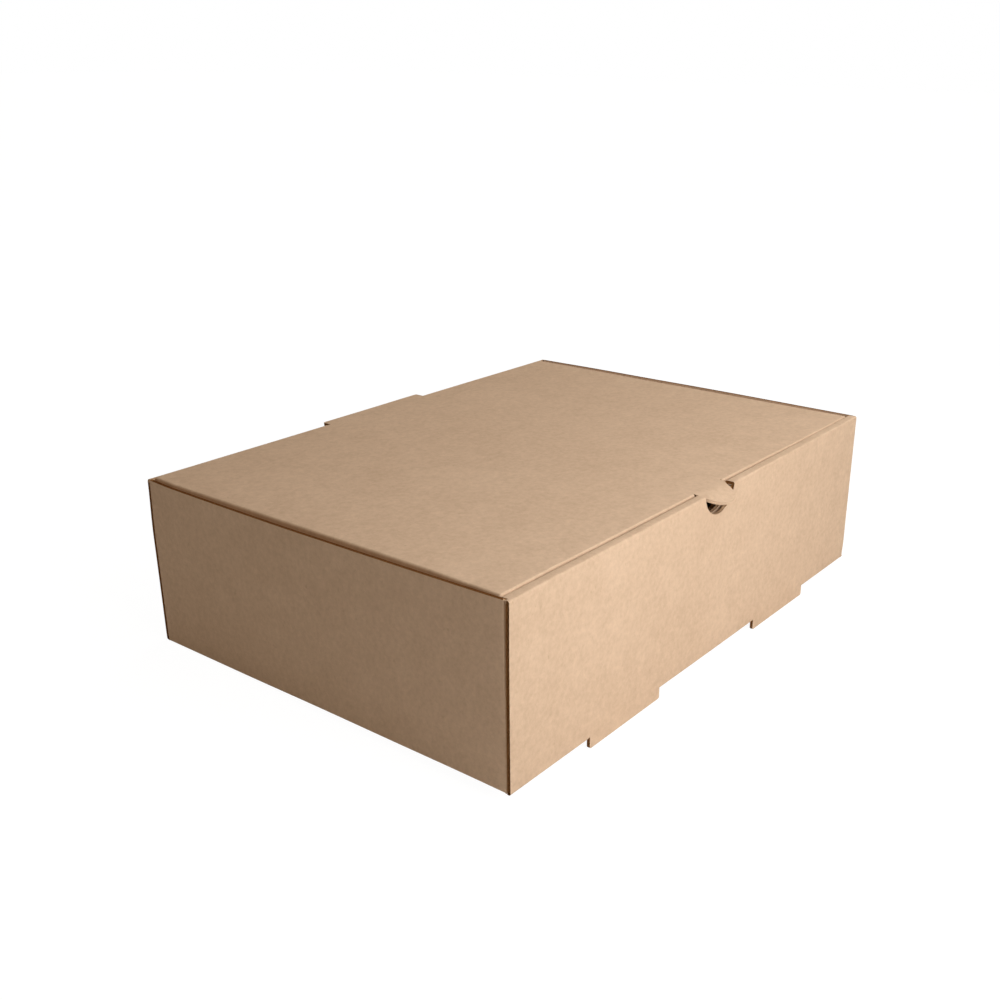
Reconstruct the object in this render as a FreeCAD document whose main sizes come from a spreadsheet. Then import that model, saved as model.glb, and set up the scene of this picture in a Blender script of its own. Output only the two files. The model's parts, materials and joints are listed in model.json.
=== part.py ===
import FreeCAD, Part
import math
import os

import Sketcher
from FreeCAD import Rotation, Vector

# A hinged takeaway box, folded from one die-cut sheet of thin corrugated board.
# The tray is the base, the four walls and their tucked layers; the lid is the top panel with
# its tuck flap, two side flaps, thumb tongue and rear tab.
# Both bodies are drawn in one frame: x runs along the front, centred; y runs back from the
# outside of the front wall; z rises from the underside of the base.

SIZES = {
    # The closed box, outside, without its feet, tongue and rear tab.
    "box_width": 290.0,
    "box_depth": 210.0,
    "box_height": 80.0,
    # The board and its folds. fold_radius is on the inside of a bend.
    "board": 1.5,
    "fold_radius": 0.3,
    "layer_gap": 0.15,
    "slit": 0.2,
    # Where the lid clears the tray.
    "front_gap": 1.0,
    "side_gap": 1.9,
    "hinge_gap": 0.3,
    "flap_top_gap": 0.9,
    "crest_drop": 0.2,
    # Tray: feet in the plane of the front wall, cut from the base.
    "foot_width": 52.0,
    "foot_spacing": 136.8,
    "foot_drop": 4.8,
    "foot_corner": 1.0,
    # Tray: layers tucked behind the front and rear walls.
    "corner_flap": 60.0,
    "lock_inset": 1.0,
    "lock_lift": 0.3,
    # Thumb notch through the three layers at the top of the front wall.
    "notch_radius": 12.6,
    "notch_rise": 1.6,
    # Lid: half-moon tongue, which stays out when the tuck flap is folded down. It is smaller
    # than the notch by tongue_gap all round, and runs straight for tongue_lead before it droops.
    "tongue_gap": 0.8,
    "tongue_lead": 1.0,
    "tongue_droop": 22.0,
    # Lid: tab beyond the hinge, cut from the rear wall.
    "tab_width": 70.0,
    "tab_reach": 4.0,
    "tab_gap": 0.4,
    "tab_corner": 1.0,
    # Lid: tuck flap and side flaps.
    "tuck_depth": 35.0,
    "tuck_lean": 6.0,
    "tuck_corner": 18.0,
    "side_flap": 30.0,
    "side_flap_front": 8.0,
    "side_flap_taper": 10.0,
    "side_flap_corner": 6.0,
}

# Places that follow from the sizes, as expressions on the sheet.
BEND = "(sizes.fold_radius + sizes.board)"
WIDTH_HALF = "(sizes.box_width / 2)"
LAYER_2 = "(sizes.board + sizes.layer_gap)"
LAYER_3 = f"(2 * {LAYER_2})"
FRONT_BACK = f"({LAYER_3} + sizes.board)"
REAR_INNER = "(sizes.box_depth - sizes.board)"
REAR_LAYER_2 = f"(sizes.box_depth - {LAYER_2})"
LID_UNDER = "(sizes.box_height - sizes.board)"
FLAP_TOP = f"({LID_UNDER} - sizes.flap_top_gap)"
HINGE_BACK = "(sizes.box_depth - sizes.board / 2)"
HINGE_HEIGHT = "(sizes.box_height - sizes.board / 2)"
WALL_FOOT = f"({BEND} + sizes.slit)"
CREST_END = f"({WIDTH_HALF} - {BEND} - sizes.slit)"
SLOT_END = "(sizes.board + sizes.foot_drop)"
LID_FRONT = f"({FRONT_BACK} + sizes.front_gap)"
LID_SIDE = f"({WIDTH_HALF} - sizes.board - sizes.side_gap)"
LID_REAR = f"({REAR_INNER} - sizes.hinge_gap)"
TONGUE_RADIUS = "(sizes.notch_radius - sizes.tongue_gap)"
TONGUE_FOLD = f"({LID_FRONT} - sizes.tongue_lead)"
TONGUE_TIP = f"({TONGUE_FOLD} - {TONGUE_RADIUS} * cos(sizes.tongue_droop))"
TUCK_SHIFT = "(sizes.tuck_depth * tan(sizes.tuck_lean))"

# How far a feature reaches into the one that it joins, or past the face that it cuts.
OVERLAP = 1.0

doc = FreeCAD.newDocument("takeaway_food_box")
sizes = doc.addObject("Spreadsheet::Sheet", "sizes")
for row, (alias, size) in enumerate(SIZES.items(), start=1):
    sizes.set(f"A{row}", alias)
    sizes.set(f"B{row}", str(size))
    sizes.setAlias(f"B{row}", alias)
doc.recompute()


def number(expression):
    """The present value of an expression on the sheet."""
    return float(sizes.evalExpression(expression))


def new_body(name):
    body = doc.addObject("PartDesign::Body", name)
    body.Label = name
    return body


def new_sketch(body, name, plane, lift="0", tilt="0"):
    """A sketch on one of the body's own origin planes, raised off it and tilted about x."""
    sketch = body.newObject("Sketcher::SketchObject", name)
    role = f"{plane}_Plane"
    support = next(feature for feature in body.Origin.OriginFeatures if feature.Role == role)
    sketch.AttachmentSupport = [(support, "")]
    sketch.MapMode = "FlatFace"
    sketch.AttachmentOffset = FreeCAD.Placement(Vector(), Rotation(Vector(1, 0, 0), number(tilt)))
    if lift != "0":
        sketch.setExpression("AttachmentOffset.Base.z", lift)
    if tilt != "0":
        sketch.setExpression("AttachmentOffset.Rotation.Angle", tilt)
    return sketch


def pin(sketch, geometry, position, across, up):
    """Hold one point of the sketch at two expressions."""
    for kind, axis, expression in (("DistanceX", -2, across), ("DistanceY", -1, up)):
        if expression == "0":
            sketch.addConstraint(Sketcher.Constraint("PointOnObject", geometry, position, axis))
            continue
        constraint = Sketcher.Constraint(kind, -1, 1, geometry, position, number(expression))
        index = sketch.addConstraint(constraint)
        sketch.setExpression(f"Constraints[{index}]", expression)


def draw_outline(sketch, corners):
    """A closed outline. Each corner is (across, up) or, where it is rounded, (across, up, radius)."""
    count = len(corners)
    points = [Vector(number(corner[0]), number(corner[1])) for corner in corners]
    radii = [number(corner[2]) if len(corner) > 2 else 0.0 for corner in corners]
    ahead = [(points[(i + 1) % count] - points[i]).normalize() for i in range(count)]
    turns = [ahead[i - 1].cross(ahead[i]).z for i in range(count)]
    trims = [radii[i] * math.tan(ahead[i - 1].getAngle(ahead[i]) / 2) for i in range(count)]
    lines = []
    for i in range(count):
        start = points[i] + ahead[i] * trims[i]
        end = points[(i + 1) % count] - ahead[i] * trims[(i + 1) % count]
        lines.append(sketch.addGeometry(Part.LineSegment(start, end)))
    for i, corner in enumerate(corners):
        before = lines[i - 1]
        after = lines[i]
        if not radii[i]:
            sketch.addConstraint(Sketcher.Constraint("Coincident", before, 2, after, 1))
            pin(sketch, after, 1, corner[0], corner[1])
            continue
        entry = points[i] - ahead[i - 1] * trims[i]
        leave = points[i] + ahead[i] * trims[i]
        inward = (ahead[i] - ahead[i - 1]).normalize()
        centre = points[i] + inward * math.hypot(radii[i], trims[i])
        first, last = (entry, leave) if turns[i] > 0 else (leave, entry)
        angles = [math.atan2(place.y - centre.y, place.x - centre.x) for place in (first, last)]
        circle = Part.Circle(centre, Vector(0, 0, 1), radii[i])
        arc = sketch.addGeometry(Part.ArcOfCircle(circle, *angles))
        entry_end, leave_end = (1, 2) if turns[i] > 0 else (2, 1)
        apex = sketch.addGeometry(Part.Point(points[i]), True)
        sketch.addConstraint(Sketcher.Constraint("Tangent", before, 2, arc, entry_end))
        sketch.addConstraint(Sketcher.Constraint("Tangent", after, 1, arc, leave_end))
        sketch.addConstraint(Sketcher.Constraint("PointOnObject", apex, 1, before))
        sketch.addConstraint(Sketcher.Constraint("PointOnObject", apex, 1, after))
        pin(sketch, apex, 1, corner[0], corner[1])
        radius = sketch.addConstraint(Sketcher.Constraint("Radius", arc, radii[i]))
        sketch.setExpression(f"Constraints[{radius}]", corner[2])


def draw_box(sketch, left, right, bottom, top, corner="0"):
    """A rectangle whose two lower corners may be rounded."""
    rounded = () if corner == "0" else (corner,)
    low = [(left, bottom, *rounded), (right, bottom, *rounded)]
    draw_outline(sketch, low + [(right, top), (left, top)])


def draw_circle(sketch, radius, across, up):
    centre = Vector(number(across), number(up))
    rim = sketch.addGeometry(Part.Circle(centre, Vector(0, 0, 1), number(radius)))
    pin(sketch, rim, 3, across, up)
    index = sketch.addConstraint(Sketcher.Constraint("Radius", rim, number(radius)))
    sketch.setExpression(f"Constraints[{index}]", radius)


def draw_half_disc(sketch, radius, across, up, below):
    """A half disc on a level diameter, bulging downward where below is true."""
    centre = Vector(number(across), number(up))
    size = number(radius)
    angles = (math.pi, 2 * math.pi) if below else (0, math.pi)
    circle = Part.Circle(centre, Vector(0, 0, 1), size)
    arc = sketch.addGeometry(Part.ArcOfCircle(circle, *angles))
    ends = [centre + Vector(size * math.cos(angle), 0) for angle in angles]
    line = sketch.addGeometry(Part.LineSegment(ends[1], ends[0]))
    sketch.addConstraint(Sketcher.Constraint("Coincident", arc, 2, line, 1))
    sketch.addConstraint(Sketcher.Constraint("Coincident", arc, 1, line, 2))
    sketch.addConstraint(Sketcher.Constraint("PointOnObject", arc, 3, line))
    sketch.addConstraint(Sketcher.Constraint("Horizontal", line))
    pin(sketch, arc, 3, across, up)
    index = sketch.addConstraint(Sketcher.Constraint("Radius", arc, size))
    sketch.setExpression(f"Constraints[{index}]", radius)


def pad(body, sketch, length, side="One side", reverse=False):
    feature = body.newObject("PartDesign::Pad", f"{sketch.Name}_pad")
    return extrude(feature, sketch, length, side, reverse)


def pocket(body, sketch, length, side="One side", reverse=False):
    """A cut, compared by volume so that one which points away from the board is refused."""
    doc.recompute()
    volume = body.Shape.Volume
    feature = body.newObject("PartDesign::Pocket", f"{sketch.Name}_cut")
    extrude(feature, sketch, length, side, reverse)
    doc.recompute()
    if body.Shape.Volume >= volume:
        raise ValueError(f"{feature.Name} removes nothing")
    return feature


def extrude(feature, sketch, length, side, reverse):
    feature.Profile = (sketch, [""])
    feature.Type = "Length"
    feature.SideType = side
    feature.Reversed = reverse
    feature.setExpression("Length", length)
    return feature


def mirrored(body, name, originals):
    """The same features on the other side of the box."""
    feature = body.newObject("PartDesign::Mirrored", name)
    plane = next(item for item in body.Origin.OriginFeatures if item.Role == "YZ_Plane")
    feature.Originals = originals
    feature.MirrorPlane = (plane, [""])
    body.Tip = feature
    return feature


def foot_edges(side, inset="0"):
    """The x of a foot's two ends, for the left (-1) or the right (1) foot."""
    centre = f"({side} * sizes.foot_spacing / 2)"
    half = f"(sizes.foot_width / 2 - {inset})"
    return f"{centre} - {half}", f"{centre} + {half}"


def make_tray():
    body = new_body("tray")

    # The sheet from the inner front panel, over the top and down the front, along the base
    # and up the rear wall.
    sheet = new_sketch(body, "folded_sheet", "YZ")
    draw_outline(sheet, [
        ("0", "0", BEND),
        ("sizes.box_depth", "0", BEND),
        ("sizes.box_depth", HINGE_HEIGHT),
        (REAR_INNER, HINGE_HEIGHT),
        (REAR_INNER, "sizes.board", "sizes.fold_radius"),
        ("sizes.board", "sizes.board", "sizes.fold_radius"),
        ("sizes.board", LID_UNDER, "sizes.fold_radius"),
        (LAYER_3, LID_UNDER, "sizes.fold_radius"),
        (LAYER_3, LAYER_2),
        (FRONT_BACK, LAYER_2),
        (FRONT_BACK, "sizes.box_height", BEND),
        ("0", "sizes.box_height", BEND),
    ])
    pad(body, sheet, "sizes.box_width", "Symmetric")

    # The top of the rear wall is rounded about the hinge.
    nose = new_sketch(body, "hinge_nose", "YZ")
    draw_half_disc(nose, "sizes.board / 2", HINGE_BACK, HINGE_HEIGHT, below=False)
    pad(body, nose, "sizes.box_width", "Symmetric")

    # The base stops at its side folds, and so do the folds at its front and rear.
    for side, name in ((-1, "left"), (1, "right")):
        relief = new_sketch(body, f"base_edge_{name}", "XZ", "-sizes.box_depth / 2")
        inner = f"{side} * ({WIDTH_HALF} - {BEND})"
        outer = f"{side} * ({WIDTH_HALF} + {OVERLAP})"
        left, right = (outer, inner) if side < 0 else (inner, outer)
        draw_box(relief, left, right, f"-{OVERLAP}", WALL_FOOT)
        pocket(body, relief, f"sizes.box_depth + {2 * OVERLAP}", "Symmetric")

        # Behind the front wall, the roll-over and the inner panel stand between the side walls.
        trim = new_sketch(body, f"inner_panel_end_{name}", "XY", "sizes.board")
        inner = f"{side} * ({CREST_END} - sizes.slit)"
        left, right = (outer, inner) if side < 0 else (inner, outer)
        draw_box(trim, left, right, "sizes.board", f"{FRONT_BACK} + {OVERLAP}")
        pocket(body, trim, "sizes.box_height", reverse=True)

        # The slot that a foot leaves in the base, wider than the foot by the knife's slit.
        slot = new_sketch(body, f"base_slot_{name}", "XY")
        left, right = foot_edges(side, "-sizes.slit")
        draw_box(slot, left, right, f"-{OVERLAP}", SLOT_END)
        pocket(body, slot, BEND, reverse=True)

        # The foot itself, hanging from the front wall.
        foot = new_sketch(body, f"foot_{name}", "XZ")
        left, right = foot_edges(side)
        top = f"{BEND} + {OVERLAP}"
        draw_box(foot, left, right, "-sizes.foot_drop", top, "sizes.foot_corner")
        pad(body, foot, "sizes.board", reverse=True)

        # The lock tab of the inner panel, which holds the rolled front down in that slot.
        lock = new_sketch(body, f"lock_tab_{name}", "XZ", f"-{LAYER_3}")
        left, right = foot_edges(side, "sizes.lock_inset")
        top = f"{LAYER_2} + {OVERLAP}"
        draw_box(lock, left, right, "sizes.lock_lift", top, "sizes.foot_corner")
        pad(body, lock, "sizes.board", reverse=True)

    # The gap in the rear wall that the lid's tab was cut from, deep enough for its swing.
    vent = new_sketch(body, "rear_vent", "XZ", f"-{HINGE_BACK}")
    half = "(sizes.tab_width / 2 + sizes.tab_gap)"
    swing = "(sizes.tab_reach + sizes.board / 2 + sizes.tab_gap)"
    sill = f"{HINGE_HEIGHT} - {swing}"
    draw_box(vent, f"-{half}", half, sill, f"sizes.box_height + {OVERLAP}")
    pocket(body, vent, "2 * sizes.board", "Symmetric")

    # The thumb notch.
    notch = new_sketch(body, "thumb_notch", "XZ")
    draw_circle(notch, "sizes.notch_radius", "0", "sizes.box_height + sizes.notch_rise")
    pocket(body, notch, f"{FRONT_BACK} + {OVERLAP}")

    # A side wall with the corner flap at each end folded in, low enough to pass under the lid.
    wall = new_sketch(body, "side_wall", "XY", WALL_FOOT)
    outer = f"-{WIDTH_HALF}"
    inner = f"sizes.board - {WIDTH_HALF}"
    flap_end = f"sizes.corner_flap - {WIDTH_HALF}"
    draw_outline(wall, [
        (outer, LAYER_2, BEND),
        (flap_end, LAYER_2),
        (flap_end, f"{LAYER_2} + sizes.board"),
        (inner, f"{LAYER_2} + sizes.board", "sizes.fold_radius"),
        (inner, f"{REAR_LAYER_2} - sizes.board", "sizes.fold_radius"),
        (flap_end, f"{REAR_LAYER_2} - sizes.board"),
        (flap_end, REAR_LAYER_2),
        (outer, REAR_LAYER_2, BEND),
    ])
    wall_pad = pad(body, wall, f"{FLAP_TOP} - {WALL_FOOT}")

    # The fold that joins the side wall to the base.
    fold = new_sketch(body, "base_side_fold", "XZ", f"-({LAYER_2} + {BEND})")
    base_edge = f"{BEND} + {OVERLAP} - {WIDTH_HALF}"
    draw_outline(fold, [
        (outer, "0", BEND),
        (base_edge, "0"),
        (base_edge, "sizes.board"),
        (inner, "sizes.board", "sizes.fold_radius"),
        (inner, f"{WALL_FOOT} + {OVERLAP}"),
        (outer, f"{WALL_FOOT} + {OVERLAP}"),
    ])
    fold_pad = pad(body, fold, f"sizes.box_depth - 2 * ({LAYER_2} + {BEND})", reverse=True)

    # The top of the side wall, which rises beside the lid as far as the fold at either end.
    crest = new_sketch(body, "side_wall_crest", "XY", f"{FLAP_TOP} - {OVERLAP}")
    crest_end = f"-{CREST_END}"
    draw_outline(crest, [
        (outer, LAYER_2, BEND),
        (crest_end, LAYER_2),
        (crest_end, f"{LAYER_2} + sizes.board"),
        (inner, f"{LAYER_2} + sizes.board", "sizes.fold_radius"),
        (inner, f"{REAR_LAYER_2} - sizes.board", "sizes.fold_radius"),
        (crest_end, f"{REAR_LAYER_2} - sizes.board"),
        (crest_end, REAR_LAYER_2),
        (outer, REAR_LAYER_2, BEND),
    ])
    rise = f"sizes.box_height - sizes.crest_drop - {FLAP_TOP} + {OVERLAP}"
    crest_pad = pad(body, crest, rise)
    mirrored(body, "right_side", [wall_pad, fold_pad, crest_pad])
    return body


def make_lid():
    body = new_body("lid")
    plate_half = f"({LID_SIDE} - {BEND})"

    # The top panel and the tuck flap, which leans inward so that it swings clear of the wall.
    sheet = new_sketch(body, "lid_sheet", "YZ")
    thick_top = "(sizes.board / cos(sizes.tuck_lean))"
    draw_outline(sheet, [
        (LID_FRONT, "sizes.box_height", BEND),
        (f"{LID_FRONT} + {TUCK_SHIFT}", "sizes.box_height - sizes.tuck_depth"),
        (f"{LID_FRONT} + {TUCK_SHIFT} + {thick_top}", "sizes.box_height - sizes.tuck_depth"),
        (f"{LID_FRONT} + sizes.board * tan(sizes.tuck_lean) + {thick_top}", LID_UNDER,
         "sizes.fold_radius"),
        (LID_REAR, LID_UNDER),
        (LID_REAR, "sizes.box_height"),
    ])
    pad(body, sheet, f"2 * {plate_half}", "Symmetric")

    # The hole that the tongue leaves in the tuck flap, and in the fold above it.
    hole = new_sketch(body, "tongue_hole", "XZ", f"-({LID_FRONT} - {OVERLAP})")
    hole_radius = f"({TONGUE_RADIUS} + sizes.slit)"
    draw_half_disc(hole, hole_radius, "0", LID_UNDER, below=True)
    pocket(body, hole, f"{TUCK_SHIFT} + {BEND} + {OVERLAP}")
    gap = new_sketch(body, "tongue_fold_gap", "XZ", f"-({LID_FRONT} - {OVERLAP})")
    draw_box(gap, f"-{hole_radius}", hole_radius, LID_UNDER, f"sizes.box_height + {OVERLAP}")
    pocket(body, gap, f"{BEND} + {OVERLAP}")

    # The tongue: flat past the front fold, then drooping.
    root = new_sketch(body, "tongue_root", "XY", LID_UNDER)
    root_back = f"{LID_FRONT} + {BEND} + {OVERLAP}"
    draw_box(root, f"-{TONGUE_RADIUS}", TONGUE_RADIUS, TONGUE_FOLD, root_back)
    pad(body, root, "sizes.board")
    tongue = new_sketch(body, "tongue", "XY", "sizes.box_height", "sizes.tongue_droop")
    tongue.setExpression("AttachmentOffset.Base.y", TONGUE_FOLD)
    draw_half_disc(tongue, TONGUE_RADIUS, "0", "0", below=True)
    pad(body, tongue, "sizes.board", reverse=True)

    # The tab beyond the hinge, in the plane of the lid.
    tab = new_sketch(body, "rear_tab", "XY", LID_UNDER)
    half = "sizes.tab_width / 2"
    reach = "sizes.box_depth + sizes.tab_reach"
    draw_outline(tab, [
        (f"-{half}", f"{LID_REAR} - {OVERLAP}"),
        (half, f"{LID_REAR} - {OVERLAP}"),
        (half, reach, "sizes.tab_corner"),
        (f"-{half}", reach, "sizes.tab_corner"),
    ])
    pad(body, tab, "sizes.board")

    # The lower corners of the tuck flap, rounded by cutting away what lies outside an arc.
    tip = "sizes.box_height - sizes.tuck_depth"
    for side, name in ((-1, "left"), (1, "right")):
        corner = new_sketch(body, f"tuck_corner_{name}", "XZ", f"-({LID_FRONT} - {OVERLAP})")
        edge = f"{side} * {plate_half}"
        outside = f"{side} * ({plate_half} + {OVERLAP})"
        inside = f"{side} * ({plate_half} - sizes.tuck_corner - {OVERLAP})"
        above = f"{tip} + sizes.tuck_corner + {OVERLAP}"
        draw_outline(corner, [
            (edge, tip, "sizes.tuck_corner"),
            (inside, tip),
            (inside, f"{tip} - {OVERLAP}"),
            (outside, f"{tip} - {OVERLAP}"),
            (outside, above),
            (edge, above),
        ])
        pocket(body, corner, f"{TUCK_SHIFT} + {thick_top} + {2 * OVERLAP}")

    # A side fold along the panel, and the flap below it, cut back at both ends.
    fold = new_sketch(body, "side_fold", "XZ", f"-({LID_FRONT} + {BEND})")
    outer = f"-{LID_SIDE}"
    inner = f"sizes.board - {LID_SIDE}"
    plate_edge = f"{OVERLAP} - {plate_half}"
    fold_end = f"sizes.box_height - {BEND} - sizes.slit"
    draw_outline(fold, [
        (outer, fold_end),
        (inner, fold_end),
        (inner, LID_UNDER, "sizes.fold_radius"),
        (plate_edge, LID_UNDER),
        (plate_edge, "sizes.box_height"),
        (outer, "sizes.box_height", BEND),
    ])
    fold_pad = pad(body, fold, f"{LID_REAR} - {LID_FRONT} - {BEND}", reverse=True)
    flap = new_sketch(body, "side_flap", "YZ", outer)
    front = f"{LID_FRONT} + {TUCK_SHIFT} + sizes.side_flap_front"
    rear = f"{REAR_LAYER_2} - sizes.board - sizes.side_flap_front"
    low = "sizes.box_height - sizes.side_flap"
    draw_outline(flap, [
        (f"{front} + sizes.side_flap_taper", low, "sizes.side_flap_corner"),
        (f"{rear} - sizes.side_flap_taper", low, "sizes.side_flap_corner"),
        (rear, LID_UNDER),
        (front, LID_UNDER),
    ])
    flap_pad = pad(body, flap, "sizes.board")
    mirrored(body, "right_side", [fold_pad, flap_pad])
    return body


bodies = [make_tray(), make_lid()]
for body in bodies:
    # The origin is at the middle of the whole footprint, on the surface that the feet stand on.
    body.setExpression("Placement.Base.y", f"-({TONGUE_TIP} + sizes.box_depth + sizes.tab_reach) / 2")
    body.setExpression("Placement.Base.z", "sizes.foot_drop")
doc.recompute()

for item in doc.Objects:
    if "Invalid" in item.State or "Error" in item.State:
        raise RuntimeError(f"{item.Name} failed: {item.State}")
    if item.TypeId == "Sketcher::SketchObject" and not item.FullyConstrained:
        raise RuntimeError(f"{item.Name} is not fully constrained")
for body in bodies:
    if body.Shape.isNull() or not body.Shape.isValid():
        raise RuntimeError(f"{body.Label} has no valid shape")

os.makedirs("parts", exist_ok=True)
for body in bodies:
    body.Shape.exportStep(f"parts/{body.Label}.step")
    print(body.Label, "solids", len(body.Shape.Solids), "volume", round(body.Shape.Volume, 1))
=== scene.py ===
import json
import math

import bmesh
import bpy
from mathutils import Matrix, Vector


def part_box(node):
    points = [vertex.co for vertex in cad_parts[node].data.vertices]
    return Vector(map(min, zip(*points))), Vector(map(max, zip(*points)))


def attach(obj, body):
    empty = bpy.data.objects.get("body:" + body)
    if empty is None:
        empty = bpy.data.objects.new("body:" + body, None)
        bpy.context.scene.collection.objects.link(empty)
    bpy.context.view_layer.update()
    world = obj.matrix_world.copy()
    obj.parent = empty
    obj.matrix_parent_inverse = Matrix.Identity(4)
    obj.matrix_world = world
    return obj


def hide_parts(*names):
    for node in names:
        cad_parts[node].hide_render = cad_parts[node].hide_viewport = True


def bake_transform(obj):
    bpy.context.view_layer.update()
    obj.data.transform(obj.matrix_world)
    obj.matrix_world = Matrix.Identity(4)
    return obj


# A hinged takeaway box, folded from one die-cut sheet of kraft corrugated board.
# Each board is laid out flat, folded up one panel at a time, given its thickness, and then
# its cut edges are opened to show the liners and the wavy layer between them.

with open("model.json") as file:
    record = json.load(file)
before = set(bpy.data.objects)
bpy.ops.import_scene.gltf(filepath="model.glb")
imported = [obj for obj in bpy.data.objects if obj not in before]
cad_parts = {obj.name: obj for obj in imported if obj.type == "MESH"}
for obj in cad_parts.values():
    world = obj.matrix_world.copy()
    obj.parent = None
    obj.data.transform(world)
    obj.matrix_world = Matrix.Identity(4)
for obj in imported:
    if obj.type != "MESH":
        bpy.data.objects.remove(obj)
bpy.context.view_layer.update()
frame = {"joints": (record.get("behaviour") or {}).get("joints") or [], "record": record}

MM = 0.001

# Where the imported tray, lid and hinge are.
tray_low, tray_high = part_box("tray")
lid_low, lid_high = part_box("lid")
mounts = {mount["name"]: mount for mount in frame["record"]["mounts"]}
HALF = tray_high.x
FRONT = tray_low.y
REAR = tray_high.y
TOP = tray_high.z
BASE = mounts["base_underside"]["pos_m"][2]
HEIGHT = TOP - BASE
HINGE = Vector(frame["joints"][0]["pos_m"])

# The board and its folds.
BOARD = 1.5 * MM
BEND = 1.8 * MM
LAYER_GAP = 0.15 * MM
LAYER = BOARD + LAYER_GAP
SLIT = 0.2 * MM
LINER = 0.15 * MM
TIGHT_BEND = 1.2 * MM
FRONT_BEND = 0.8 * MM
BASE_BEND = 0.8 * MM
INNER_BEND = 0.08 * MM
FOLD_STEPS = 6
PANEL_GRID = 7 * MM
NEAR = 0.01 * MM
FACING_UP = 0.7
FACING_SIDE = 0.5
EDGE_BAND = 2 * MM

# The tray.
CORNER_BEND = 1.0 * MM
FOLD_END = HALF - BOARD
LAND_END = FOLD_END - 0.1 * MM
CURL = LAYER - 0.05 * MM
ROLL_DEPTH = 2 * LAYER + BOARD
FRONT_BACK = FRONT + ROLL_DEPTH
CORNER_FOOT = BASE + BASE_BEND
CORNER_DROP = 0.7 * MM
FLAP_FOOT = BASE + BOARD + 0.3 * MM
SIDE_FRONT = FRONT + LAYER + CORNER_BEND
SIDE_REAR = REAR - LAYER - CORNER_BEND
FLAP_TOP = BASE + 77.6 * MM
CREST_TOP = TOP - 0.2 * MM
REAR_INSET = 0.5 * MM
FRONT_INSET = 0.8 * MM
CORNER_FLAP = 60 * MM
FOOT_INNER = 42.4 * MM
FOOT_OUTER = 94.4 * MM
SLOT_REAR = FRONT + BOARD + BASE
FOOT_CORNER = 0.9 * MM
LOCK_INSET = 1.0 * MM
LOCK_LIFT = 0.3 * MM
VENT_HALF = 35.4 * MM
VENT_SILL = HINGE.z - 5.15 * MM
NOTCH_RADIUS = 12.6 * MM
NOTCH_HEIGHT = TOP + 1.6 * MM
NOTCH_SLIP = 0.2 * MM
NOTCH_LEAD = 6 * MM

# The lid, and the seams where the strip over the hinge begins and ends.
LID_FRONT = FRONT_BACK + 1.0 * MM
LID_FRONT_BEND = 1.0 * MM
LID_HALF = lid_high.x
LID_BEND = 1.0 * MM
TUCK_HALF = LID_HALF - BEND
LID_RIM = 2.0 * MM
HINGE_BEND = 1.6 * MM
WALL_SEAM = TOP - HINGE_BEND - SLIT
LID_SEAM = REAR - LAYER
TUCK_DEPTH = 35 * MM
TUCK_SHIFT = TUCK_DEPTH * math.tan(math.radians(6))
TUCK_CORNER = 18 * MM
SIDE_FLAP = 30 * MM
SIDE_FLAP_INSET = 8 * MM
SIDE_FLAP_FRONT = LID_FRONT + TUCK_SHIFT + SIDE_FLAP_INSET
SIDE_FLAP_REAR = REAR - LAYER - BOARD - SIDE_FLAP_INSET
SIDE_FLAP_TAPER = 10 * MM
SIDE_FLAP_CORNER = 6 * MM
CORNER_CLEAR = 1.2 * MM
FOLD_BACK = LID_FRONT + 1.2 * MM
TONGUE_RADIUS = 11.8 * MM
TONGUE_FOLD = LID_FRONT - 1.0 * MM
TONGUE_SIDES = 24
TONGUE_ROW = 1.3 * MM
TONGUE_ROWS = 9
TONGUE_FIRST_ROW = TONGUE_FOLD + 0.4 * MM
TONGUE_COLUMN = 2.4 * MM
TONGUE_COLUMN_SHIFT = 0.3 * MM
TONGUE_HANG = 8 * MM
LIP_DEPTH = 1.5 * MM
SLOT_LEFT = -TONGUE_RADIUS - 0.15 * MM
SLOT_RIGHT = TONGUE_RADIUS + 0.5 * MM
PUNCH_REACH = 18 * MM
PUNCH_LEAD = 0.5 * MM
PUNCH_ROOF = TOP - BOARD - 0.3 * MM
TAB_HALF = 35 * MM
TAB_END = lid_high.y
TAB_CORNER = 1.0 * MM

# Cut edges: how far the middle is sunk between the liners, and the waves of the flutes.
FLUTE_DEPTH = 0.8 * MM
SHUT_DEPTH = 0.06 * MM
FLUTE_PITCH = 3.2 * MM
FLUTE_SWING = 0.46 * MM
FLUTE_PAPER = 0.14 * MM
FLUTE_INSET = 0.1 * MM
FLUTE_SUNK = 0.7 * MM
FOOT_FLUTES = 1.0 * MM

# How the folded board has settled: how far each place moves, and the tongue's bends in degrees.
LID_CORNER = 0.9 * MM
LID_LIFT = 0.4 * MM
LID_EAR = 0.6 * MM
REAR_LEAN = 0.8 * MM
TONGUE_TWIST = 2.4 * MM
TONGUE_LIFT = 0.4 * MM
TONGUE_DROOP = (2.5, 4, 4, 3, 2.5, 2, 1.5)
FRONT_BOW = 0.8 * MM
FRONT_FLARE = 0.5 * MM
SIDE_BOW = 1.5 * MM
LEAN_CURVE = 1.3
DRIFT = 0.5 * MM
BOARD_DRIFT = bpy.data.textures.new("board_drift", "CLOUDS")
BOARD_DRIFT.cloud_type = "COLOR"
BOARD_DRIFT.noise_scale = 0.09
BOARD_DRIFT.noise_depth = 1
SMOOTH_ANGLE = 32

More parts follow.
